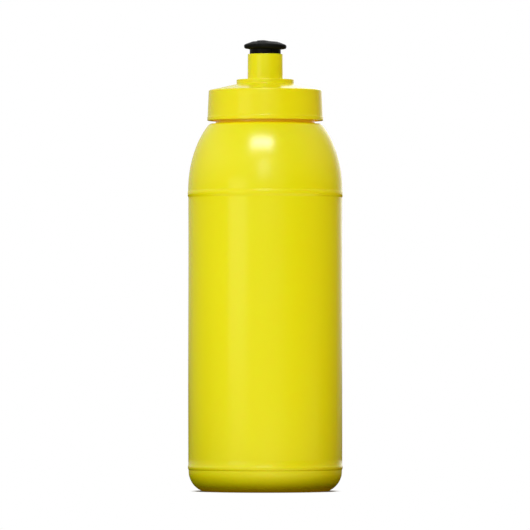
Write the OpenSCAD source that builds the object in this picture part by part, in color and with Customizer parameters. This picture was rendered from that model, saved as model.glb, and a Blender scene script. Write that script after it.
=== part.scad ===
// Push-pull squeeze bottle for a bicycle bottle cage.
// Millimetres, +Z up, origin at the centre of the foot ring on the surface it stands on.
// Six pieces: the blow-moulded bottle, the screw cap with its gasket, the valve post that is
// snapped into the cap from below, the sliding nozzle stem and the soft mouthpiece on its tip.

/* [Bottle] */
// Radius of the cylindrical body that the bottle cage holds
body_r = 37; // [36.8:0.1:37.2]
// Wall thickness of the blown shell
wall = 1.1; // [0.9:0.1:1.3]
// Outer radius of the foot ring on the floor
foot_r = 30.1; // [29.5:0.1:30.5]
// Radial width of the flat foot ring
foot_w = 4.5; // [3.5:0.5:6]
// Height of the recessed middle of the base
push_up_h = 3.2; // [2.4:0.2:4]
// Radius of the rounded heel
heel_round = 10.05; // [9.9:0.05:10.2]
// Height at which the shoulder starts to curve in
shoulder_z = 144.9; // [144.8:0.1:145.4]
// Height of the flat land at the top of the shoulder
land_z = 176.7; // [176.4:0.1:177]
// Outer radius of the shoulder's flat land
land_r = 26.6; // [26.4:0.1:26.8]

/* [Beads] */
// Height of the lower bead's middle
low_bead_z = 11.5; // [11.4:0.1:12]
// Height of the upper bead's middle
high_bead_z = 143.1; // [142.6:0.1:143.2]
// Height of the lower bead along the wall
low_bead_h = 2.2; // [1.8:0.1:2.4]
// Height of the upper bead along the wall
high_bead_h = 3.6; // [3:0.1:3.6]
// How far the lower bead stands out of the body
low_bead_out = 0.22; // [0.16:0.02:0.24]
// How far the upper bead stands out of the body
high_bead_out = 0.38; // [0.3:0.02:0.4]

/* [Neck and thread] */
// Outer radius of the neck between its threads
neck_r = 23.9; // [23.8:0.1:24]
// Radius of the mouth
mouth_r = 22.3; // [22.1:0.1:22.4]
// Height of the neck's rim
rim_z = 190.5; // [190.4:0.1:190.6]
// Axial travel of the cap in one turn
thread_lead = 8; // [8:0.1:8.2]
// Radial height of each thread
thread_depth = 1.3; // [1.1:0.1:1.4]
// Turns that each thread start runs round
thread_turns = 0.95; // [0.8:0.05:1]
// Height of the middle of the neck thread at its lower end
neck_thread_z = 180.3; // [180.2:0.1:180.6]

/* [Cap] */
// Height of the cap's lower edge
cap_z = 178.3; // [178.2:0.1:178.5]
// Radius of the lip at the cap's lower edge
lip_r = 27.95; // [27.9:0.05:28.1]
// Height of the lip
lip_h = 1.9; // [1.6:0.1:2.2]
// Radius of the skirt just above the lip
skirt_low_r = 27.8; // [27.7:0.05:27.85]
// Radius of the skirt at its top corner
skirt_top_r = 27.25; // [27.1:0.05:27.4]
// Inner radius of the skirt between its threads
skirt_bore_r = 25.6; // [25.6:0.05:25.7]
// Height of the cap's top corner
cap_corner_z = 192.9; // [192.8:0.1:193.1]
// Radius of the raised disc round the tower
disc_r = 13.85; // [13.7:0.05:14]
// Height of the raised disc's lower edge
disc_z = 195.9; // [195.8:0.1:196]
// Height of the raised disc's top
disc_top_z = 198.1; // [198:0.1:198.3]
// Height of the tower's top
tower_top_z = 210.4; // [210.2:0.1:210.5]
// Radius of the tower at its foot
tower_r = 8.5; // [8.45:0.05:8.6]

/* [Nozzle] */
// Radius of the sliding stem
stem_r = 7.5; // [7.4:0.05:7.5]
// Radius of the passage through the stem
passage_r = 5.4; // [5.2:0.1:5.6]
// How far the nozzle pulls up
nozzle_travel = 7; // [6:0.5:7]
// Largest radius of the mushroom tip
tip_r = 10.26; // [10:0.02:10.3]
// Height of the mushroom's underside when shut
tip_z = 212.95; // [212.9:0.05:213.1]
// Radius of the mushroom's rounded rim
rim_round = 0.62; // [0.5:0.02:0.7]
// Radius of the flat top of the mushroom
tip_flat_r = 5.9; // [5.5:0.1:6.2]
// Height of the mushroom's flat top when shut
tip_flat_z = 216.4; // [216.3:0.05:216.5]
// Height of the raised lip round the drinking hole when shut
tip_lip_z = 216.9; // [216.8:0.05:217]
// Radius of the drinking hole
hole_r = 2.28; // [2.26:0.01:2.3]

/* [Gasket and valve post] */
// Thickness of the gasket
gasket_t = 1.1; // [1:0.05:1.15]
// Radius of the post's plug, which closes the drinking hole
plug_r = 2.2; // [2.18:0.01:2.21]
// Radius of the post below its plug
post_r = 3; // [2.6:0.1:3.4]
// Number of spokes that hold the post
spokes = 3; // [3:1:4]

/* [Hidden] */
$fn = 96;
yellow = [0.93, 0.87, 0.10];
black = [0.05, 0.05, 0.05];
white = [0.90, 0.90, 0.88];
// how many straight steps stand for each rounded part of an outline
long_steps = 24;
heel_steps = 12;
bead_steps = 8;
edge_steps = 4;
// small allowances shared by the pieces
eps = 0.01;
seat_gap = 0.05;
stop_gap = 0.1;
slide_gap = 0.08;
lip_gap = 0.03;
loose_gap = 0.35;
// bottle
heel_top_r = body_r - 0.15;
heel_c = [heel_top_r - heel_round, sqrt(pow(heel_round, 2) - pow(foot_r - heel_top_r + heel_round, 2))];
base_wall = wall + 0.3;
base_lean = 0.8;
push_up_r = foot_r - foot_w - push_up_h;
shoulder_r = body_r + 0.1;
shoulder_a = 28.9;
shoulder_b = 41.9;
shoulder_c = [shoulder_r - shoulder_a, shoulder_z];
land_wall = wall + 0.4;
mouth_flare = 1;
edge_round = 0.5;
edge_from = 30;
rim_bevel = 0.4;
bead_step = 0.06;
bead_sink = 0.5;
// threads: half the crest's width, and how much wider each flank gets per millimetre of depth
thread_starts = 2;
crest_half = 0.35;
flank = 0.58;
thread_sink = 0.6;
thread_runout = 0.3;
fade_turns = 0.08;
thread_segments = 48;
// the cap's thread lies this part of a pitch under the neck's, and starts this part of a turn later
cap_thread_share = 0.4;
cap_thread_late = 0.15;
cap_thread_z = neck_thread_z - thread_lead / thread_starts * cap_thread_share + thread_lead * cap_thread_late;
// cap
seat_z = rim_z + 2 * seat_gap + gasket_t;
roof_t = 1.6;
roof_slope = (disc_z - cap_corner_z) / (skirt_top_r - disc_r);
corner_round = 0.7;
lip_round = 0.35;
lip_fall = 0.3;
skirt_lead = 0.3;
plug_ring_r = mouth_r - 0.6;
plug_ring_t = 1.2;
plug_ring_z = rim_z - 2.3;
plug_ring_lead = [0.4, 0.8];
collar_r = 9.6;
collar_t = 1.7;
collar_z = 185;
collar_root_z = disc_z - 1;
ceiling_z = disc_top_z - 1.2;
disc_round = 0.4;
tower_top_r = tower_r - 0.07;
tower_round = 0.45;
tower_foot = 0.4;
// nozzle
flange_t = 1.2;
flange_r = collar_r - loose_gap;
flange_top_z = ceiling_z - nozzle_travel - stop_gap;
flange_z = flange_top_z - flange_t;
stem_top_z = tip_z;
spigot_r = 6.3;
spigot_top_z = stem_top_z + 2;
barb_h = 0.8;
barb_out = 0.4;
wiper_h = 0.9;
wiper_z = [199.6, 202.2];
// valve post
ring_top_z = flange_z - stop_gap;
ring_h = 3.4;
ring_t = 1.5;
snap_z = ring_top_z - ring_h / 2;
snap_out = 0.25;
snap_h = 1;
spoke_w = 1.8;
spoke_h = 2.2;
plug_z = tip_z - 1.2;
plug_taper_h = 1.5;
plug_bevel = 0.4;
post_top_z = tip_flat_z - 0.2;
// mouthpiece
flat_ease = [0.5, 0.15];
lip_foot_r = hole_r + 1.9;
lip_top_r = hole_r + 1.6;
hole_bevel = 0.3;

// Points along an arc of an ellipse; the angles run from the +R direction towards +Z.
function arc(c, a, b, from, to, steps) =
    [for (i = [0:steps]) let (t = from + (to - from) * i / steps) c + [a * cos(t), b * sin(t)]];

// Points of a rounded bead on the body, from its lower end up.
function bead(z, h, out, upper_r) =
    let (r = (pow(h / 2, 2) + pow(out, 2)) / (2 * out))
    let (c = [body_r + out - r, z])
    arc(c, r, r, -acos((body_r + bead_step - c[0]) / r), acos((upper_r - c[0]) / r), bead_steps);

// Angle at which an elliptical arc of half-height b, centred at height z0, reaches height z.
function angle_at(z, z0, b) = asin((z - z0) / b);

// Solid of revolution from a closed outline of [radius, height] points.
module turned(points) {
    rotate_extrude() polygon(points);
}

// Ring between two radii, standing on height z.
module ring(outer, inner, z, h) {
    difference() {
        translate([0, 0, z]) cylinder(r = outer, h = h);
        translate([0, 0, z - eps]) cylinder(r = inner, h = h + 2 * eps);
    }
}

// Ring with a half-round section of height h that stands out of a wall of radius r.
module half_round(r, z, h, out) {
    bulge = (pow(h / 2, 2) + pow(out, 2)) / (2 * out);
    reach = acos((bulge - out) / bulge);
    c = [r + out - bulge, z];
    turned(concat([[r - bead_sink, z - h / 2]], arc(c, bulge, bulge, -reach, reach, bead_steps),
        [[r - bead_sink, z + h / 2]]));
}

// How far a thread has grown, 0 to 1, at a point that is t turns along it.
function grown(t) = max(0, min(1, t / fade_turns, (thread_turns - t) / fade_turns));

// One section of a thread as a trapezoid with its root buried in the wall. Each end of the
// thread runs out below the wall. side is 1 for an outside wall and -1 for a bore.
function thread_section(r, z, side, t) =
    let (depth = (thread_depth + thread_runout) * grown(t) - thread_runout)
    let (root = crest_half + flank * (depth + thread_sink))
    [[r - side * thread_sink, z - root], [r + side * depth, z - crest_half],
     [r + side * depth, z + crest_half], [r - side * thread_sink, z + root]];

// Right-hand thread swept round the wall of radius r, from height z up.
module thread(r, z, side) {
    n = ceil(thread_segments * thread_turns);
    points = [for (i = [0:n]) let (t = thread_turns * i / n)
        for (p = thread_section(r, z + thread_lead * t, side, t))
        [p[0] * cos(360 * t), p[0] * sin(360 * t), p[1]]];
    sides = [for (i = [0:n - 1]) for (j = [0:3]) let (a = 4 * i + j, b = 4 * i + (j + 1) % 4)
        each [[a, b, b + 4], [a, b + 4, a + 4]]];
    end = 4 * n;
    ends = [[0, 3, 2], [0, 2, 1], [end, end + 1, end + 2], [end, end + 2, end + 3]];
    faces = concat(sides, ends);
    mirrored = [for (f = faces) [f[2], f[1], f[0]]];
    polyhedron(points, side > 0 ? faces : mirrored, 4);
}

// All the starts of a thread, spaced evenly round the axis.
module thread_set(r, z, side) {
    for (i = [0:thread_starts - 1]) rotate([0, 0, 360 * i / thread_starts]) thread(r, z, side);
}

module bottle() {
    heel_low = -asin(heel_c[1] / heel_round);
    shoulder_top = angle_at(land_z - edge_round, shoulder_z, shoulder_b);
    inner_low = angle_at(base_wall, heel_c[1], heel_round - wall);
    inner_top = angle_at(land_z - land_wall, shoulder_z, shoulder_b - wall);
    outer = concat(
        [[0, push_up_h], [push_up_r, push_up_h], [foot_r - foot_w, 0]],
        arc(heel_c, heel_round, heel_round, heel_low, 0, heel_steps),
        bead(low_bead_z, low_bead_h, low_bead_out, body_r),
        [[body_r, high_bead_z - high_bead_h / 2]],
        bead(high_bead_z, high_bead_h, high_bead_out, shoulder_r),
        arc(shoulder_c, shoulder_a, shoulder_b, 0, shoulder_top, long_steps),
        arc([land_r, land_z - edge_round], edge_round, edge_round, edge_from, 90, edge_steps),
        [[neck_r, land_z], [neck_r, rim_z - rim_bevel], [neck_r - rim_bevel, rim_z]]);
    inner = concat(
        [[mouth_r, rim_z], [mouth_r, land_z - edge_round]],
        [[mouth_r + mouth_flare, land_z - land_wall]],
        arc(shoulder_c, shoulder_a - wall, shoulder_b - wall, inner_top, 0, long_steps),
        arc(heel_c, heel_round - wall, heel_round - wall, 0, inner_low, heel_steps),
        [[foot_r - foot_w + base_lean, base_wall], [push_up_r + base_lean, push_up_h + base_wall]],
        [[0, push_up_h + base_wall]]);
    color(yellow) union() {
        turned(concat(outer, inner));
        thread_set(neck_r, neck_thread_z, 1);
    }
}

module screw_cap() {
    roof_z = cap_corner_z + roof_slope * (skirt_top_r - plug_ring_r + plug_ring_t) - roof_t;
    tower_bore_r = stem_r + slide_gap;
    outer = concat(
        arc([lip_r - lip_round, cap_z + lip_round], lip_round, lip_round, -90, 0, edge_steps),
        [[lip_r, cap_z + lip_h - lip_fall], [skirt_low_r, cap_z + lip_h]],
        arc([skirt_top_r - corner_round, cap_corner_z - corner_round], corner_round, corner_round,
            0, 90 - atan(roof_slope), edge_steps),
        [[disc_r, disc_z]],
        arc([disc_r - disc_round, disc_top_z - disc_round], disc_round, disc_round, 0, 90, edge_steps),
        [[tower_r + tower_foot, disc_top_z], [tower_r, disc_top_z + tower_foot]],
        arc([tower_top_r - tower_round, tower_top_z - tower_round], tower_round, tower_round,
            0, 90, edge_steps));
    inner = [
        [tower_bore_r, tower_top_z], [tower_bore_r, ceiling_z], [collar_r, ceiling_z],
        [collar_r, collar_z], [collar_r + collar_t, collar_z], [collar_r + collar_t, collar_root_z],
        [plug_ring_r - plug_ring_t, roof_z], [plug_ring_r - plug_ring_t, plug_ring_z],
        [plug_ring_r - plug_ring_lead[0], plug_ring_z], [plug_ring_r, plug_ring_z + plug_ring_lead[1]],
        [plug_ring_r, seat_z], [skirt_bore_r, seat_z], [skirt_bore_r, cap_z + skirt_lead],
        [skirt_bore_r + skirt_lead, cap_z]];
    color(yellow) difference() {
        union() {
            turned(concat(outer, inner));
            rotate([0, 0, 360 * cap_thread_late]) thread_set(skirt_bore_r, cap_thread_z, -1);
        }
        snap_groove();
    }
}

// Groove in the collar that the valve post's snap bead clicks into.
module snap_groove() {
    half_round(collar_r, snap_z, snap_h, snap_out);
}

module cap_gasket() {
    color(white) ring(skirt_bore_r - loose_gap, plug_ring_r + loose_gap, rim_z + seat_gap, gasket_t);
}

module valve_post() {
    bottom_z = ring_top_z - ring_h;
    color(black) union() {
        ring(collar_r, collar_r - ring_t, bottom_z, ring_h);
        half_round(collar_r, snap_z, snap_h, snap_out);
        for (i = [0:spokes - 1]) rotate([0, 0, 360 * i / spokes])
            translate([0, -spoke_w / 2, bottom_z]) cube([collar_r - ring_t / 2, spoke_w, spoke_h]);
        turned([[0, bottom_z], [post_r, bottom_z], [post_r, plug_z - plug_taper_h], [plug_r, plug_z],
            [plug_r, post_top_z - plug_bevel], [plug_r - plug_bevel, post_top_z], [0, post_top_z]]);
    }
}

module nozzle_stem() {
    color(black) union() {
        difference() {
            union() {
                translate([0, 0, flange_z]) cylinder(r = stem_r, h = stem_top_z - flange_z);
                translate([0, 0, flange_z]) cylinder(r = flange_r, h = flange_t);
                translate([0, 0, flange_z]) cylinder(r = spigot_r, h = spigot_top_z - flange_z);
                turned([[0, spigot_top_z - barb_h], [spigot_r + barb_out, spigot_top_z - barb_h],
                    [spigot_r, spigot_top_z], [0, spigot_top_z]]);
            }
            translate([0, 0, flange_z - eps]) cylinder(r = passage_r, h = spigot_top_z - flange_z + 2 * eps);
        }
        for (z = wiper_z) half_round(stem_r, z, wiper_h, slide_gap - lip_gap);
    }
}

module mouthpiece() {
    rim_c = [tip_r - rim_round, tip_z + rim_round];
    slope = atan((tip_flat_z - rim_c[1] - rim_round) / (rim_c[0] - tip_flat_r));
    color(black) turned(concat(
        [[hole_r, spigot_top_z], [spigot_r, spigot_top_z], [spigot_r + barb_out, spigot_top_z - barb_h]],
        [[spigot_r, spigot_top_z - barb_h], [spigot_r, tip_z]],
        arc(rim_c, rim_round, rim_round, -90, 90 - slope, bead_steps),
        [[tip_flat_r, tip_flat_z - flat_ease[1]], [tip_flat_r - flat_ease[0], tip_flat_z]],
        [[lip_foot_r, tip_flat_z], [lip_top_r, tip_lip_z], [hole_r + hole_bevel, tip_lip_z]],
        [[hole_r, tip_lip_z - hole_bevel]]));
}

bottle();
screw_cap();
cap_gasket();
valve_post();
nozzle_stem();
mouthpiece();
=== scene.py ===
"""Looks for the push-pull squeeze bottle: moulded shells, soft tip, studio and camera.

Shapes are worked out in millimetres, and each mesh is made in metres. Materials, lights, floor and
camera are in metres throughout.
"""

import math

import bmesh
import bpy
import numpy as np
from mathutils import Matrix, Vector


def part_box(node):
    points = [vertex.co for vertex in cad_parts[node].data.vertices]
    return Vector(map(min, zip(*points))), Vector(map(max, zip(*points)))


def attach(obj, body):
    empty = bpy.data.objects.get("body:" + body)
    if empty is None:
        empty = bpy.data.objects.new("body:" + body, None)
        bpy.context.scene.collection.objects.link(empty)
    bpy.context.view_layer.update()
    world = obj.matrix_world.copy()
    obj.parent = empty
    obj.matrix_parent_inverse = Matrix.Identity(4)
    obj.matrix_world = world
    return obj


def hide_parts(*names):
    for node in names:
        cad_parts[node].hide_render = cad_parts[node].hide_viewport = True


MM = 0.001
TURN = 2 * math.pi
COLUMNS = 224              # columns of faces round a turned piece
ARC_STEP = 8               # most degrees between two points of a rounded corner
SHARP = math.radians(50)   # edges that turn more than this are not smoothed
SAME = 1e-4                # points closer than this are one point
ON_AXIS = 1e-6             # radius below which a point lies on the axis
ON_WALL = 1e-3             # how exactly a point's radius has to be that of a straight wall

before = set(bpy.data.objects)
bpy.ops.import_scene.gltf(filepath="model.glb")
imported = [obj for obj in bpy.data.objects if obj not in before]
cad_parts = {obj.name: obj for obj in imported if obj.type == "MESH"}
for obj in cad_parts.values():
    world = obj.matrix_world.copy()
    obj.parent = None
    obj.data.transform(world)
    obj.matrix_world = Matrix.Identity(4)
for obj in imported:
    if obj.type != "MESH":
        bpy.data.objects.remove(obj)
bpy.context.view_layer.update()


def cad_size(node):
    """Radius, lowest and highest point of a round CAD node."""
    low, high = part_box(node)
    return (high.x - low.x) / 2 / MM, low.z / MM, high.z / MM


# ---------------------------------------------------------------- sizes, from the frame

BEAD_R, _, RIM_Z = cad_size("bottle")
LIP_R, CAP_Z, TOWER_TOP_Z = cad_size("screw_cap")
FLANGE_R, STEM_Z, SPIGOT_TOP_Z = cad_size("nozzle_stem")
TIP_R, TIP_Z, TIP_TOP_Z = cad_size("mouthpiece")

# bottle
HIGH_BEAD_OUT = 0.38
LOW_BEAD_OUT = 0.22
BODY_R = BEAD_R - HIGH_BEAD_OUT
WALL = 1.1
BASE_WALL = WALL + 0.3
LAND_WALL = WALL + 0.4
FOOT_R = 30.1
FOOT_W = 4.5
PUSH_UP_H = 3.2
PUSH_UP_R = FOOT_R - FOOT_W - PUSH_UP_H
HEEL_ROUND = 10.05
HEEL_TOP_R = BODY_R - 0.15
HEEL_R = HEEL_TOP_R - HEEL_ROUND
HEEL_Z = math.sqrt(HEEL_ROUND**2 - (FOOT_R - HEEL_R) ** 2)
LOW_BEAD_Z, LOW_BEAD_H = 11.5, 2.2
HIGH_BEAD_Z, HIGH_BEAD_H = 143.1, 3.6
SHOULDER_Z, SHOULDER_A, SHOULDER_B = 144.9, 28.9, 41.9
SHOULDER_R = BODY_R + 0.1
LAND_Z, LAND_R = 176.7, 26.6
NECK_R, MOUTH_R = 23.9, 22.3
WELD_LENGTH, WELD_W, WELD_H, WELD_ROUND = 28.0, 0.9, 0.45, 0.3
WAVE_H = 0.07                       # unevenness of the blown wall
RIDGE_H, RIDGE_HALF = 0.05, 0.35    # parting line: height, and half its width
CAD_MARGIN = 0.01                   # how far the uneven wall stays inside the CAD model's widest radius

# thread
LEAD, STARTS, TURNS = 8.0, 2, 0.95
THREAD_DEPTH, CREST_HALF, ROOT_HALF = 1.3, 0.35, 1.1
FADE = 0.08                # turns over which a thread grows at its start and fades at its end
NECK_THREAD_Z = RIM_Z - 10.2
CAP_THREAD_LATE = 0.15     # turns by which the cap's thread starts after the neck's
CAP_THREAD_Z = NECK_THREAD_Z - 1.6 + LEAD * CAP_THREAD_LATE
THREAD_ROW = 0.2           # height of the rows of faces that carry a thread

# cap
LIP_H = 1.9
SKIRT_LOW_R = LIP_R - 0.15
SKIRT_TOP_R = 27.25
SKIRT_BORE_R = 25.6
MOUTH_BEVEL = 0.3
CORNER_Z = 192.9
DISC_R, DISC_Z, DISC_TOP_Z = 13.85, 195.9, 198.1
TOWER_R = 8.5
TOWER_TOP_R = TOWER_R - 0.07
TOWER_BORE_R = 7.58
SEAT_Z = RIM_Z + 1.2
CEILING_Z = DISC_TOP_Z - 1.2
COLLAR_R, COLLAR_T, COLLAR_Z = 9.6, 1.7, 185.0
PLUG_RING_R, PLUG_RING_T, PLUG_RING_Z = MOUTH_R - 0.6, 1.2, RIM_Z - 2.3
ROOF_T = 1.6

# nozzle
STEM_R, PASSAGE_R = 7.5, 5.4
FLANGE_T = 1.2
SPIGOT_R, BARB_OUT, BARB_H = 6.3, 0.4, 0.8
WIPERS, WIPER_OUT, WIPER_H = (199.6, 202.2), 0.05, 0.9
HOLE_R = 2.28
SOCKET_R = STEM_R + 0.02            # inside of the tip's hem, just clear of the stem
TIP_CONE_R, TIP_CONE_Z = 8.3, 215.55
TIP_FLAT_R, TIP_FLAT_Z = 5.9, TIP_TOP_Z - 0.5


# ---------------------------------------------------------------- outlines and turned meshes

def rounded(corners):
    """Outline of (radius, height) points from (radius, height, fillet) corners, open at both ends."""
    points = []
    for i, (r, z, fillet) in enumerate(corners):
        here = Vector((r, z))
        if fillet == 0 or i in (0, len(corners) - 1):
            points.append(here)
            continue
        back = (Vector(corners[i - 1][:2]) - here).normalized()
        ahead = (Vector(corners[i + 1][:2]) - here).normalized()
        half = math.acos(max(-1, min(1, back.dot(ahead)))) / 2
        centre = here + (back + ahead).normalized() * fillet / math.sin(half)
        start, end = (here + d * fillet / math.tan(half) - centre for d in (back, ahead))
        turn = start.angle_signed(end)
        steps = max(2, math.ceil(abs(math.degrees(turn)) / ARC_STEP))
        for k in range(steps + 1):
            a = -turn * k / steps
            points.append(centre + Vector((start.x * math.cos(a) - start.y * math.sin(a),
                                           start.x * math.sin(a) + start.y * math.cos(a))))
    return points


def arc(r, z, a, b, start, end, steps):
    """Corners along an elliptical arc about (r, z), by angle in degrees from +R towards +Z."""
    angles = (math.radians(start + (end - start) * i / steps) for i in range(steps + 1))
    return [(r + a * math.cos(t), z + b * math.sin(t), 0) for t in angles]


def bulge_radius(height, out):
    """Radius of the arc that stands out by `out` over a straight line of this height."""
    return ((height / 2) ** 2 + out**2) / (2 * out)


def bead(z, height, out, lower_r, upper_r):
    """Corners of a round bead on the body, from its lower end at one radius to its upper at another."""
    r = bulge_radius(height, out)
    c = BODY_R + out - r
    low, high = (math.degrees(math.acos((x - c) / r)) for x in (lower_r, upper_r))
    return arc(c, z, r, r, -low, high, 10)


def spaced(points, longest):
    """The outline with extra points, so that no stretch is longer than `longest`."""
    out = [points[0]]
    for a, b in zip(points, points[1:]):
        n = max(1, math.ceil((b - a).length / longest))
        out += [a.lerp(b, k / n) for k in range(1, n + 1)]
    return out


def thinned(points):
    """The outline without points that lie on each other."""
    kept = [points[0]]
    for p in points[1:]:
        if (p - kept[-1]).length > SAME:
            kept.append(p)
    return kept


def turned(name, outline, reshape=None, angles=None):
    """A turned mesh from an outline. A closed outline gives a ring, an open one ends on the axis.

    reshape(r, z, t) may move the points: it gets arrays and returns radius and height.
    """
    if angles is None:
        angles = even_angles()
    outline = thinned(outline)
    closed = outline[0].x > ON_AXIS
    if closed and (outline[0] - outline[-1]).length < SAME:
        outline = outline[:-1]
    r0 = np.array([p.x for p in outline])[:, None] + 0 * angles[None, :]
    z0 = np.array([p.y for p in outline])[:, None] + 0 * angles[None, :]
    t = 0 * r0 + angles[None, :]
    r, z = reshape(r0, z0, t) if reshape else (r0, z0)
    x, y = r * np.cos(t), r * np.sin(t)
    mesh = bpy.data.meshes.new(name)
    bm = bmesh.new()
    rows = []
    for i in range(len(outline)):
        if r0[i, 0] < ON_AXIS:
            pole = bm.verts.new((0, 0, z[i, 0] * MM))
            rows.append([pole] * len(angles))
        else:
            rows.append([bm.verts.new((x[i, j] * MM, y[i, j] * MM, z[i, j] * MM))
                         for j in range(len(angles))])
    pairs = list(zip(rows, rows[1:])) + ([(rows[-1], rows[0])] if closed else [])
    for a, b in pairs:
        for j in range(len(angles)):
            k = (j + 1) % len(angles)
            corners = list(dict.fromkeys((a[j], a[k], b[k], b[j])))
            if len(corners) > 2:
                bm.faces.new(corners)
    bmesh.ops.recalc_face_normals(bm, faces=bm.faces)
    bm.to_mesh(mesh)
    bm.free()
    return finished(name, mesh)


def finished(name, mesh):
    """An object for the mesh, smooth except at its sharp edges."""
    mesh.shade_smooth()
    mesh.set_sharp_from_angle(angle=SHARP)
    obj = bpy.data.objects.new(name, mesh)
    bpy.context.scene.collection.objects.link(obj)
    return obj


def smooth_step(x):
    """0 below 0, 1 above 1, and a smooth rise between."""
    x = np.clip(x, 0, 1)
    return x * x * (3 - 2 * x)


def thread_height(z, t, low_z, late):
    """Height of a thread, 0 to 1, at each height and angle. Its first start begins `late` turns round."""
    height = np.zeros_like(z)
    for start in range(STARTS):
        along = np.mod(t / TURN - late - start / STARTS, 1)
        off = np.abs(z - low_z - LEAD * along)
        profile = smooth_step((ROOT_HALF - off) / (ROOT_HALF - CREST_HALF))
        grown = smooth_step(along / FADE) * smooth_step((TURNS - along) / FADE)
        height = np.maximum(height, profile * grown)
    return height


def even_angles():
    """Angles of evenly spaced columns."""
    return np.arange(COLUMNS) * 2 * math.pi / COLUMNS


def seam_angles():
    """Even columns plus close ones at the two parting lines, on the +X and -X sides."""
    near = np.array([-0.6, -0.3, -0.12, 0.12, 0.3, 0.6]) / BODY_R
    angles = np.concatenate([even_angles(), near % TURN, near + math.pi])
    return np.unique(np.round(angles, 7))


# ---------------------------------------------------------------- pieces

def bottle_shell():
    """Blown shell: beads, heel, push-up, domed shoulder, neck with its thread, even inner wall."""
    shoulder_c = SHOULDER_R - SHOULDER_A
    shoulder_end = math.degrees(math.asin((LAND_Z - 0.5 - SHOULDER_Z) / SHOULDER_B))
    heel_start = -math.degrees(math.asin(HEEL_Z / HEEL_ROUND))
    inner_end = math.degrees(math.asin((LAND_Z - LAND_WALL - SHOULDER_Z) / (SHOULDER_B - WALL)))
    inner_heel = math.degrees(math.asin((BASE_WALL - HEEL_Z) / (HEEL_ROUND - WALL)))
    outer = [(0, PUSH_UP_H, 0), (PUSH_UP_R, PUSH_UP_H, 1.2), (FOOT_R - FOOT_W, 0, 0.8)]
    outer += [(FOOT_R - 0.4, 0, 0)]
    outer += arc(HEEL_R, HEEL_Z, HEEL_ROUND, HEEL_ROUND, heel_start + 2, 0, 20)
    outer += [(HEEL_TOP_R, LOW_BEAD_Z - LOW_BEAD_H / 2 - 0.1, 0.15)]
    outer += bead(LOW_BEAD_Z, LOW_BEAD_H, LOW_BEAD_OUT, BODY_R + 0.06, BODY_R)
    outer += [(BODY_R, HIGH_BEAD_Z - HIGH_BEAD_H / 2, 0.1)]
    outer += bead(HIGH_BEAD_Z, HIGH_BEAD_H, HIGH_BEAD_OUT, BODY_R + 0.06, SHOULDER_R)
    outer += arc(shoulder_c, SHOULDER_Z, SHOULDER_A, SHOULDER_B, 0, shoulder_end, 44)
    outer += [(LAND_R, LAND_Z, 0.35), (NECK_R, LAND_Z, 0.5), (NECK_R, RIM_Z, 0.35)]
    inner = [(MOUTH_R, RIM_Z, 0.35), (MOUTH_R, LAND_Z - 1, 1.2)]
    inner += arc(shoulder_c, SHOULDER_Z, SHOULDER_A - WALL, SHOULDER_B - WALL, inner_end, 0, 40)
    inner += arc(HEEL_R, HEEL_Z, HEEL_ROUND - WALL, HEEL_ROUND - WALL, 0, inner_heel, 16)
    inner += [(FOOT_R - FOOT_W + 0.8, BASE_WALL, 0.8), (PUSH_UP_R + 0.8, PUSH_UP_H + BASE_WALL, 1.2)]
    inner += [(0, PUSH_UP_H + BASE_WALL, 0)]
    outline = spaced(rounded(outer + inner), 3.0)
    thread_rows(outline, NECK_R, LAND_Z + 0.6, RIM_Z - 0.4)

    def blown(r, z, t):
        """Thread on the neck, and the slightly uneven wall and parting lines of a blown shell."""
        on_neck = (np.abs(r - NECK_R) < ON_WALL) & (z > LAND_Z + 0.5)
        thread = THREAD_DEPTH * thread_height(z, t, NECK_THREAD_Z, 0) * on_neck
        wave = (0.5 * np.sin(2 * t + z / 31) + 0.3 * np.sin(3 * t - z / 23 + 1)
                + 0.2 * np.sin(5 * t + z / 17 + 2))
        soft = smooth_step((z - 14) / 20) * smooth_step((138 - z) / 20)
        outside = r > np.where(z > SHOULDER_Z, 0, BODY_R - 0.5)
        arc_off = np.minimum(np.abs(np.mod(t + math.pi / 2, math.pi) - math.pi / 2), 1) * BODY_R
        ridge = smooth_step(1 - arc_off / RIDGE_HALF) * outside * smooth_step((LAND_Z - 1 - z) / 2)
        grown = r + thread + WAVE_H * wave * soft + RIDGE_H * ridge * smooth_step((z - 2) / 4)
        return np.minimum(grown, BEAD_R - CAD_MARGIN), z

    return turned("bottle_shell", outline, blown, seam_angles())


def thread_rows(outline, r, low, high):
    """Adds close rows to the outline's straight stretch of radius r, for a thread's relief."""
    at = [i for i, p in enumerate(outline) if abs(p.x - r) < ON_WALL and low <= p.y <= high]
    rising = outline[at[-1]].y > outline[at[0]].y
    heights = np.arange(low, high, THREAD_ROW)
    rows = [Vector((r, float(h))) for h in (heights if rising else heights[::-1])]
    outline[at[0]:at[-1] + 1] = rows


def pinch_line():
    """The weld that the mould leaves across the recessed base, as a low rounded bar."""
    bm = bmesh.new()
    bmesh.ops.create_cube(bm, size=1)
    bmesh.ops.scale(bm, vec=Vector((WELD_LENGTH, WELD_W, 2 * WELD_H)) * MM, verts=bm.verts)
    bmesh.ops.bevel(bm, geom=bm.edges[:], offset=WELD_ROUND * MM, segments=4, affect="EDGES", profile=0.5)
    bmesh.ops.translate(bm, vec=(0, 0, PUSH_UP_H * MM), verts=bm.verts)
    mesh = bpy.data.meshes.new("base_weld_line")
    bm.to_mesh(mesh)
    bm.free()
    return finished("base_weld_line", mesh)


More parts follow.
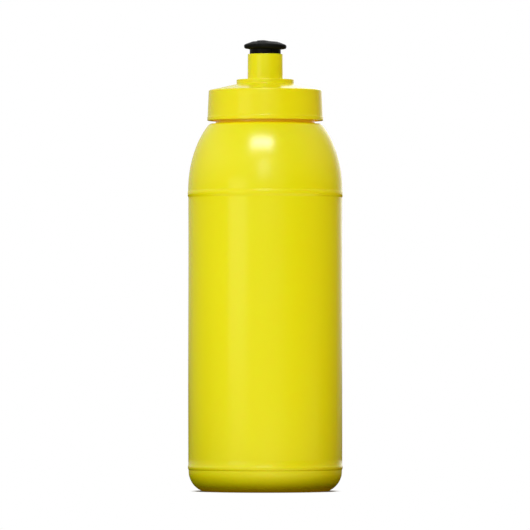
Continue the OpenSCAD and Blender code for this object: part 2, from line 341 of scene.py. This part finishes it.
def cap_shell():
    """Moulded cap: lip, tapered skirt, coned top, disc and tower outside; seal and thread inside."""
    slope = (DISC_Z - CORNER_Z) / (SKIRT_TOP_R - DISC_R)
    ring_in = PLUG_RING_R - PLUG_RING_T
    roof_z = CORNER_Z + slope * (SKIRT_TOP_R - ring_in) - ROOF_T
    mouth = (SKIRT_BORE_R + MOUTH_BEVEL, CAP_Z, 0)
    outer = [
        mouth, (LIP_R, CAP_Z, 0.35), (LIP_R, CAP_Z + LIP_H - 0.2, 0.15),
        (SKIRT_LOW_R, CAP_Z + LIP_H, 0.3), (SKIRT_TOP_R, CORNER_Z, 0.7), (DISC_R, DISC_Z, 0.25),
        (DISC_R, DISC_TOP_Z, 0.4), (TOWER_R, DISC_TOP_Z, 0.5), (TOWER_TOP_R, TOWER_TOP_Z, 0.35),
    ]
    inner = [
        (TOWER_BORE_R, TOWER_TOP_Z, 0.25), (TOWER_BORE_R, CEILING_Z, 0.1), (COLLAR_R, CEILING_Z, 0.1),
        (COLLAR_R, COLLAR_Z, 0.15), (COLLAR_R + COLLAR_T, COLLAR_Z, 0.3),
        (COLLAR_R + COLLAR_T, DISC_Z - 1, 0.5), (ring_in, roof_z, 0.4), (ring_in, PLUG_RING_Z, 0.2),
        (PLUG_RING_R, PLUG_RING_Z, 0.35), (PLUG_RING_R, SEAT_Z, 0.1), (SKIRT_BORE_R, SEAT_Z, 0.1),
        (SKIRT_BORE_R, CAP_Z, 0.25), mouth,
    ]
    outline = spaced(rounded(outer + inner), 2.0)
    thread_rows(outline, SKIRT_BORE_R, CAP_Z + 0.5, SEAT_Z - 0.4)

    def moulded(r, z, t):
        """Thread inside the skirt."""
        in_bore = (np.abs(r - SKIRT_BORE_R) < ON_WALL) & (z < SEAT_Z - 0.3)
        thread = THREAD_DEPTH * thread_height(z, t, CAP_THREAD_Z, CAP_THREAD_LATE) * in_bore
        return r - thread, z

    return turned("cap_shell", outline, moulded)


def stem_tube():
    """Hard sliding tube: stop flange at its foot, two wiper lips, barbed spigot at its top."""
    foot = (PASSAGE_R, STEM_Z, 0)
    corners = [foot, (FLANGE_R, STEM_Z, 0.25), (FLANGE_R, STEM_Z + FLANGE_T, 0.25),
               (STEM_R, STEM_Z + FLANGE_T, 0.3)]
    bulge = bulge_radius(WIPER_H, WIPER_OUT)
    reach = math.degrees(math.asin(WIPER_H / 2 / bulge))
    for z in WIPERS:
        corners += arc(STEM_R + WIPER_OUT - bulge, z, bulge, bulge, -reach, reach, 6)
    top = SPIGOT_TOP_Z
    corners += [
        (STEM_R, TIP_Z, 0.2), (SPIGOT_R, TIP_Z, 0.1), (SPIGOT_R, top - BARB_H, 0.05),
        (SPIGOT_R + BARB_OUT, top - BARB_H, 0.05), (SPIGOT_R, top, 0.1), (PASSAGE_R, top, 0.2), foot,
    ]
    return turned("stem_tube", spaced(rounded(corners), 1.5))


def soft_tip():
    """Soft mushroom tip: round rim, coned top, lip round the hole, all a little uneven."""
    top = SPIGOT_TOP_Z
    corners = [
        (HOLE_R, top, 0), (SPIGOT_R, top, 0.05), (SPIGOT_R + BARB_OUT, top - BARB_H, 0.05),
        (SPIGOT_R, top - BARB_H, 0.05), (SPIGOT_R, TIP_Z, 0.05), (SOCKET_R, TIP_Z, 0),
        (SOCKET_R, TIP_Z - 0.35, 0.1), (STEM_R + 0.35, TIP_Z - 0.3, 0.3), (STEM_R + 1.1, TIP_Z, 0.6),
        (TIP_R, TIP_Z - 0.05, 0.85), (TIP_R, TIP_Z + 1.8, 0.85), (TIP_CONE_R, TIP_CONE_Z, 1.2),
        (TIP_FLAT_R, TIP_FLAT_Z, 1.2), (HOLE_R + 1.9, TIP_FLAT_Z, 0.4), (HOLE_R + 1.5, TIP_TOP_Z, 0.3),
        (HOLE_R, TIP_TOP_Z, 0.3), (HOLE_R, top, 0),
    ]
    outline = spaced(rounded(corners), 0.5)

    def soft(r, z, t):
        """Small dents, a slight droop to one side and a lip that stands up more on the other."""
        outside = smooth_step((r - SPIGOT_R - BARB_OUT) / 2)
        over = smooth_step((z - top - 0.3) / 1.0)
        shift = np.clip(outside + over, 0, 1)
        dent = 0.03 * np.sin(3 * t + 0.7) + 0.02 * np.sin(7 * t + 2.1)
        droop = -0.012 * r * np.cos(t) + 0.05 * np.sin(4 * t + 1.3) * r / TIP_R
        lip = smooth_step((z - TIP_FLAT_Z) / 0.4)
        low_lip = -0.35 * lip * smooth_step(0.5 + 0.9 * np.cos(t - 0.2))
        return r - np.abs(dent) * shift * outside, np.minimum(z + droop * shift + low_lip, TIP_TOP_Z)

    return turned("soft_tip", outline, soft)


# ---------------------------------------------------------------- materials

GAP = 0.006                       # how near a neighbour has to be for a place to count as a gap, in metres
PAINTED_GAP_SHADE = (0.97, 0.72, 0.0)      # painted shade: the deeper orange that the yellow turns to in a gap
PAINTED_GLOW = (1.0, 0.48, 0.0)           # painted glow in the deepest gaps, standing in for light that shows through the thin wall
# strength of the painted glow in the deepest gaps
PAINTED_GLOW_STRENGTH = 0.12


class Nodes:
    """A small helper that adds nodes and links to a node tree."""

    def __init__(self, tree):
        self.tree = tree

    def add(self, kind, **values):
        """A new node, with each value set on its input of that name or else as its property."""
        node = self.tree.nodes.new(kind)
        for key, value in values.items():
            if key in node.inputs:
                node.inputs[key].default_value = value
            else:
                setattr(node, key, value)
        return node

    def link(self, source, target):
        self.tree.links.new(source, target)

    def noise(self, vector, scale, detail=2.0, rough=0.5):
        node = self.add("ShaderNodeTexNoise", Scale=scale, Detail=detail, Roughness=rough)
        self.link(vector, node.inputs["Vector"])
        return node.outputs["Fac"]

    def stretched(self, vector, scale):
        """The position times a scale for each axis."""
        node = self.add("ShaderNodeMapping")
        node.inputs["Scale"].default_value = scale
        self.link(vector, node.inputs["Vector"])
        return node.outputs["Vector"]

    def ramp(self, value, low, high, out_low, out_high):
        """A straight run from out_low at low to out_high at high, level beyond both."""
        node = self.add("ShaderNodeMapRange")
        for name, x in (("From Min", low), ("From Max", high), ("To Min", out_low), ("To Max", out_high)):
            node.inputs[name].default_value = x
        self.link(value, node.inputs["Value"])
        return node.outputs["Result"]

    def maths(self, operation, a, b=None):
        """The result of an operation on numbers or sockets."""
        node = self.add("ShaderNodeMath", operation=operation)
        for socket, value in zip(node.inputs, (a, b)):
            if isinstance(value, (int, float)):
                socket.default_value = value
            elif value is not None:
                self.link(value, socket)
        return node.outputs["Value"]

    def product(self, first, *others):
        """All the sockets or numbers multiplied together."""
        for other in others:
            first = self.maths("MULTIPLY", first, other)
        return first

    def mix(self, factor, a, b):
        """A blend from colour a, which may be a socket, to colour b."""
        node = self.add("ShaderNodeMix", data_type="RGBA")
        if isinstance(a, tuple):
            node.inputs["A"].default_value = (*a, 1)
        else:
            self.link(a, node.inputs["A"])
        node.inputs["B"].default_value = (*b, 1)
        self.link(factor, node.inputs["Factor"])
        return node.outputs["Result"]

    def distance(self, where, point):
        node = self.add("ShaderNodeVectorMath", operation="DISTANCE")
        self.link(where, node.inputs[0])
        node.inputs[1].default_value = point
        return node.outputs["Value"]

    def blend(self, factor, a, b):
        node = self.add("ShaderNodeMixShader")
        for socket, value in zip(node.inputs, (factor, a, b)):
            self.link(value, socket)
        return node.outputs["Shader"]

    def bump(self, height, distance, strength=1.0, normal=None):
        node = self.add("ShaderNodeBump", Distance=distance, Strength=strength)
        self.link(height, node.inputs["Height"])
        if normal is not None:
            self.link(normal, node.inputs["Normal"])
        return node.outputs["Normal"]


def material(name, colour):
    """A new material with a Principled shader; returns it, its node helper and the shader."""
    mat = bpy.data.materials.new(name)
    mat.use_nodes = True
    mat.diffuse_color = (*colour, 1)
    nodes = Nodes(mat.node_tree)
    shader = mat.node_tree.nodes["Principled BSDF"]
    return mat, nodes, shader


def place(nodes):
    """The position on the object."""
    return nodes.add("ShaderNodeTexCoord").outputs["Object"]


def yellow_plastic(name, colour, roughness, die_lines):
    """Polyethylene: cloudy colour, faint orange peel and, on a blown shell, vertical die lines.

    In narrow gaps it gets painted shade, a deeper orange, and a faint painted glow, as where light comes
    through the thin wall.
    """
    mat, nodes, shader = material(name, colour)
    where = place(nodes)
    light, deep = (tuple(x * k for x in colour) for k in (1.015, 0.985))
    body = nodes.mix(nodes.noise(where, 14, 2), light, deep)
    open_air = nodes.add("ShaderNodeAmbientOcclusion", samples=8, Distance=GAP).outputs["AO"]
    # painted shade: places that ambient occlusion finds in a gap turn a deeper orange
    with_gap_shade = nodes.mix(nodes.ramp(open_air, 0.1, 0.6, 1, 0), body, PAINTED_GAP_SHADE)
    nodes.link(with_gap_shade, shader.inputs["Base Color"])
    # painted glow: a faint orange emission in the deepest gaps, standing in for light through the thin
    # wall
    shader.inputs["Emission Color"].default_value = (*PAINTED_GLOW, 1)
    nodes.link(nodes.ramp(open_air, 0.02, 0.35, PAINTED_GLOW_STRENGTH, 0), shader.inputs["Emission Strength"])
    nodes.link(nodes.ramp(nodes.noise(where, 90, 4), 0.3, 0.7, roughness - 0.025, roughness + 0.025),
               shader.inputs["Roughness"])
    normal = nodes.bump(nodes.noise(where, 1400, 2), 0.00001, 0.5)
    if die_lines:
        streaks = nodes.noise(nodes.stretched(where, (300, 300, 3)), 1, 2)
        normal = nodes.bump(streaks, 0.00003, 0.5, normal)
    nodes.link(normal, shader.inputs["Normal"])
    shader.inputs["IOR"].default_value = 1.51
    shader.inputs["Subsurface Weight"].default_value = 0.25
    shader.inputs["Subsurface Radius"].default_value = (1.0, 0.5, 0.06)
    shader.inputs["Subsurface Scale"].default_value = 0.0015
    return mat


def soft_black():
    """Matt elastomer with a fine grain, and paler where handling has rubbed it."""
    mat, nodes, shader = material("soft_black_rubber", (0.007, 0.007, 0.006))
    shader.inputs["Specular IOR Level"].default_value = 0.08
    where = place(nodes)
    rub = nodes.ramp(nodes.noise(where, 220, 4), 0.4, 0.75, 0, 1)
    nodes.link(nodes.mix(rub, (0.003, 0.003, 0.0025), (0.008, 0.008, 0.007)), shader.inputs["Base Color"])
    nodes.link(nodes.ramp(nodes.noise(where, 500, 3), 0.3, 0.7, 0.46, 0.62), shader.inputs["Roughness"])
    normal = nodes.bump(nodes.noise(where, 3200, 2), 0.00003, 0.5)
    nodes.link(nodes.bump(nodes.noise(where, 420, 2), 0.0002, 0.35, normal), shader.inputs["Normal"])
    return mat


def hard_black(name, roughness):
    """Satin moulded plastic in black, with faint scuffs."""
    mat, nodes, shader = material(name, (0.006, 0.006, 0.006))
    shader.inputs["Specular IOR Level"].default_value = 0.15
    where = place(nodes)
    nodes.link(nodes.mix(nodes.noise(where, 300, 3), (0.0035, 0.0035, 0.0035), (0.006, 0.006, 0.005)),
               shader.inputs["Base Color"])
    scuff = nodes.noise(nodes.stretched(where, (900, 900, 60)), 1, 3)
    nodes.link(nodes.ramp(scuff, 0.35, 0.75, roughness - 0.05, roughness + 0.12),
               shader.inputs["Roughness"])
    nodes.link(nodes.bump(scuff, 0.00002, 0.4), shader.inputs["Normal"])
    return mat


def white_silicone():
    """Matt silicone, a little cloudy."""
    mat, nodes, shader = material("white_silicone", (0.80, 0.80, 0.76))
    where = place(nodes)
    nodes.link(nodes.mix(nodes.noise(where, 150, 3), (0.76, 0.76, 0.72), (0.84, 0.84, 0.80)),
               shader.inputs["Base Color"])
    nodes.link(nodes.ramp(nodes.noise(where, 400, 2), 0.3, 0.7, 0.5, 0.65), shader.inputs["Roughness"])
    nodes.link(nodes.bump(nodes.noise(where, 1500, 2), 0.00003, 0.5), shader.inputs["Normal"])
    return mat


def dress(obj, mat):
    """Gives every material slot of an object this material."""
    if not obj.material_slots:
        obj.data.materials.append(mat)
    for slot in obj.material_slots:
        slot.material = mat


# ---------------------------------------------------------------- studio

# light of the room by height: elevations where it starts, is full and ends, then its strength in eight
# directions, from the back (azimuth -180) by the left (-90), the front (0) and the right (90)
ROOM = (
    (-1, 0, 25, (0.55, 0.34, 0.13, 0.10, 0.05, 0.02, 0.01, 0.09)),
    (0, 25, 55, (1.10, 0.60, 0.75, 0.60, 0.45, 0.20, 0.40, 0.30)),
    (25, 55, 90, (0.80, 0.40, 0.40, 0.40, 0.40, 0.25, 0.35, 0.60)),
)
ROOM_TOP = 2.0     # strength that a full ramp colour stands for
# soft boxes: azimuth, elevation, distance, width, height, radiance, height that they face, colour;
# the core only brightens the middle of the overhead box's reflection
BOXES = {
    "overhead_box": (-7, 47, 1.5, 0.86, 0.44, 6.3, 0.165, (0.94, 1.0, 0.97)),
    "overhead_core": (-7, 47.5, 1.49, 0.74, 0.24, 9.5, 0.165, (1.0, 1.0, 1.0)),
    "left_box": (-41.5, 0, 1.2, 0.61, 0.28, 1.05, 0.20, (1.0, 1.0, 1.0)),
    "front_box": (-2, 21, 1.5, 0.42, 0.42, 2.2, 0.156, (0.94, 1.0, 0.97)),
}
# soft light that leaves no reflection of its own, given in the same way
FILLS = {
    "front_fill": (0, 6, 1.5, 1.60, 1.20, 0.95, 0.07, (0.86, 1.0, 0.9)),
    "left_fill": (-88, 18, 1.5, 1.20, 0.90, 1.30, 0.12, (1.0, 0.95, 0.8)),
    "right_fill": (94, 15, 1.5, 1.20, 0.90, 1.40, 0.09, (1.0, 0.63, 0.1)),
    "back_fill": (180, 25, 1.5, 1.60, 1.20, 1.50, 0.10, (1.0, 1.0, 1.0)),
}


def area_light(name, azimuth, elevation, distance, width, height, radiance, aim_z, colour):
    """A rectangular soft box that faces the bottle's axis. Azimuth 0 is in front, 90 to the right."""
    a, e = math.radians(azimuth), math.radians(elevation)
    aim = Vector((0, 0, aim_z))
    away = Vector((math.sin(a) * math.cos(e), -math.cos(a) * math.cos(e), math.sin(e)))
    data = bpy.data.lights.new(name, "AREA")
    data.shape = "RECTANGLE"
    data.size, data.size_y = width, height
    data.energy = radiance * math.pi * width * height
    data.color = colour
    obj = bpy.data.objects.new(name, data)
    obj.location = aim + away * distance
    obj.rotation_mode = "QUATERNION"
    obj.rotation_quaternion = (-away).to_track_quat("-Z", "Y")
    obj.visible_camera = False
    bpy.context.scene.collection.objects.link(obj)
    return obj


def direction_parts(nodes):
    """Sockets for the azimuth, 0 to 1 from the back round by the left, and the elevation in radians."""
    parts = nodes.add("ShaderNodeSeparateXYZ")
    nodes.link(nodes.add("ShaderNodeTexCoord").outputs["Generated"], parts.inputs["Vector"])
    x, y, z = parts.outputs
    azimuth = nodes.maths("ARCTAN2", x, nodes.maths("MULTIPLY", y, -1.0))
    level = nodes.maths("SQRT", nodes.maths("SUBTRACT", 1.0, nodes.maths("MULTIPLY", z, z)))
    turn = nodes.maths("ADD", nodes.maths("DIVIDE", azimuth, TURN), 0.5)
    return turn, nodes.maths("ARCTAN2", z, level)


def studio_world():
    """The room as the bottle reflects it, by height and direction. The camera itself sees plain white."""
    world = bpy.data.worlds.new("studio")
    world.use_nodes = True
    world.node_tree.nodes.clear()
    nodes = Nodes(world.node_tree)
    turn, elevation = direction_parts(nodes)
    total = None
    for low, middle, high, levels in ROOM:
        around = nodes.add("ShaderNodeValToRGB")
        stops = around.color_ramp.elements
        for i, level in enumerate((*levels, levels[0])):
            stop = stops[0] if i == 0 else stops.new(i / len(levels))
            stop.color = (level / ROOM_TOP, level / ROOM_TOP, level / ROOM_TOP, 1)
        stops.remove(stops[-1])
        nodes.link(turn, around.inputs["Fac"])
        rise = nodes.ramp(elevation, math.radians(low), math.radians(middle), 0, 1)
        fall = nodes.ramp(elevation, math.radians(middle), math.radians(high), 1, 0)
        part = nodes.product(rise, fall, around.outputs["Color"])
        total = part if total is None else nodes.maths("ADD", total, part)
    total = nodes.product(total, ROOM_TOP)
    seen = nodes.add("ShaderNodeLightPath").outputs["Is Camera Ray"]
    choose = nodes.add("ShaderNodeMix", data_type="FLOAT")
    nodes.link(seen, choose.inputs["Factor"])
    nodes.link(total, choose.inputs["A"])
    choose.inputs["B"].default_value = 1.0
    light = nodes.add("ShaderNodeBackground", Color=(1, 1, 1, 1))
    nodes.link(choose.outputs["Result"], light.inputs["Strength"])
    nodes.link(light.outputs["Background"], nodes.add("ShaderNodeOutputWorld").inputs["Surface"])
    bpy.context.scene.world = world


FLOOR_R = 40.0
SHADOW_FADE = (0.033, 0.036)       # radii between which the floor's dark contact shadow fades
WHITE_FADE = (0.0335, 0.037)       # radii between which the floor turns as white as the room
DARK_CENTRE = (0, 0.025, 0)        # the floor throws no light from close round this point,
DARK_FADE = (0.058, 0.083)         # and all of it from beyond these distances
BRIGHT_X, BESIDE = 0.009, 0.07     # it throws less from beside this line, fully so at this distance
BESIDE_FADE = (0.09, 0.18)         # but only this near to the bottle


def floor_material():
    """White to the camera, with a contact shadow. What it throws on the bottle is set apart from that.

    It throws most from the floor in front of the bottle, and less from its sides, its back and far away.
    """
    mat, nodes, shader = material("pale_floor", (0.95, 0.95, 0.95))
    shader.inputs["Roughness"].default_value = 0.8
    where = place(nodes)
    away = nodes.distance(where, (0, 0, 0))
    shade = nodes.mix(nodes.ramp(away, *SHADOW_FADE, 1, 0), (0.95, 0.95, 0.95), (0.16, 0.13, 0.07))
    nodes.link(shade, shader.inputs["Base Color"])
    white = nodes.add("ShaderNodeEmission", Strength=1.0).outputs["Emission"]
    seen = nodes.blend(nodes.ramp(away, *WHITE_FADE, 0, 1), shader.outputs["BSDF"], white)

    thrown = nodes.add("ShaderNodeEmission")
    lit = nodes.ramp(nodes.distance(where, DARK_CENTRE), *DARK_FADE, 0, 1)
    nodes.link(nodes.mix(lit, (1.0, 0.5, 0.2), (1.0, 0.92, 0.6)), thrown.inputs["Color"])
    parts = nodes.add("ShaderNodeSeparateXYZ")
    nodes.link(where, parts.inputs["Vector"])
    front = nodes.ramp(parts.outputs["Y"], -0.085, 0.0, 1.0, 0.1)
    off_line = nodes.maths("ABSOLUTE", nodes.maths("SUBTRACT", parts.outputs["X"], BRIGHT_X))
    beside = nodes.ramp(off_line, 0.0, BESIDE, 1.33, 0.35)
    side = nodes.maths("MAXIMUM", beside, nodes.ramp(away, *BESIDE_FADE, 0, 1))
    far = nodes.ramp(away, 0.3, 0.9, 1, 0.2)
    nodes.link(nodes.product(lit, front, far, side), thrown.inputs["Strength"])

    is_seen = nodes.add("ShaderNodeLightPath").outputs["Is Camera Ray"]
    both = nodes.blend(is_seen, thrown.outputs["Emission"], seen)
    nodes.link(both, mat.node_tree.nodes["Material Output"].inputs["Surface"])
    return mat


def pale_floor():
    """A wide pale floor that the bottle stands on."""
    bm = bmesh.new()
    bmesh.ops.create_circle(bm, cap_ends=True, radius=FLOOR_R, segments=96)
    mesh = bpy.data.meshes.new("floor")
    bm.to_mesh(mesh)
    bm.free()
    floor = bpy.data.objects.new("floor", mesh)
    bpy.context.scene.collection.objects.link(floor)
    dress(floor, floor_material())


def camera():
    """Long lens, level with the bottle's lower third, looking a little up, as in the product view."""
    distance = 2.95
    eye_z, aim_z = 0.0695, 0.1088
    frame_height = 0.2551      # height that the picture takes in at the bottle
    side = -0.00013
    sensor = 36
    data = bpy.data.cameras.new("camera")
    data.sensor_width = sensor
    data.lens = sensor * distance / frame_height
    data.clip_end = 200
    obj = bpy.data.objects.new("camera", data)
    obj.location = (side, -distance, eye_z)
    look = Vector((side, 0, aim_z)) - Vector(obj.location)
    obj.rotation_mode = "QUATERNION"
    obj.rotation_quaternion = look.to_track_quat("-Z", "Y")
    bpy.context.scene.collection.objects.link(obj)
    bpy.context.scene.camera = obj


# ---------------------------------------------------------------- putting it together

def build():
    """Makes each piece, with its material and body, and gives the two CAD meshes their materials."""
    blown = yellow_plastic("blown_polyethylene", (0.915, 0.82, 0.002), 0.22, True)
    moulded = yellow_plastic("moulded_polyethylene", (0.915, 0.81, 0.002), 0.20, False)
    rubber = soft_black()
    stem_black = hard_black("stem_black", 0.32)
    valve_black = hard_black("valve_black", 0.45)
    plan = (
        (bottle_shell, "bottle", "bottle", "bottle_plastic", blown),
        (pinch_line, "bottle", None, "bottle_plastic", blown),
        (cap_shell, "cap", "screw_cap", "cap_plastic", moulded),
        (stem_tube, "nozzle", "nozzle_stem", "stem_plastic", stem_black),
        (soft_tip, "nozzle", "mouthpiece", "soft_tip", rubber),
    )
    for make, body, node, slot, mat in plan:
        piece = make()
        dress(piece, mat)
        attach(piece, body)
        if node:
            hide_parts(node)
    dress(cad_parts["valve_post"], valve_black)
    dress(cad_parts["cap_gasket"], white_silicone())


def light_room():
    """The world and the lights. The overhead core is for reflections only, the fills for shading only."""
    studio_world()
    for name, values in BOXES.items():
        area_light(name, *values).visible_diffuse = name != "overhead_core"
    for name, values in FILLS.items():
        area_light(name, *values).visible_glossy = False
    scene = bpy.context.scene
    scene.view_settings.view_transform = "Standard"
    scene.view_settings.look = "None"


build()
pale_floor()
light_room()
camera()
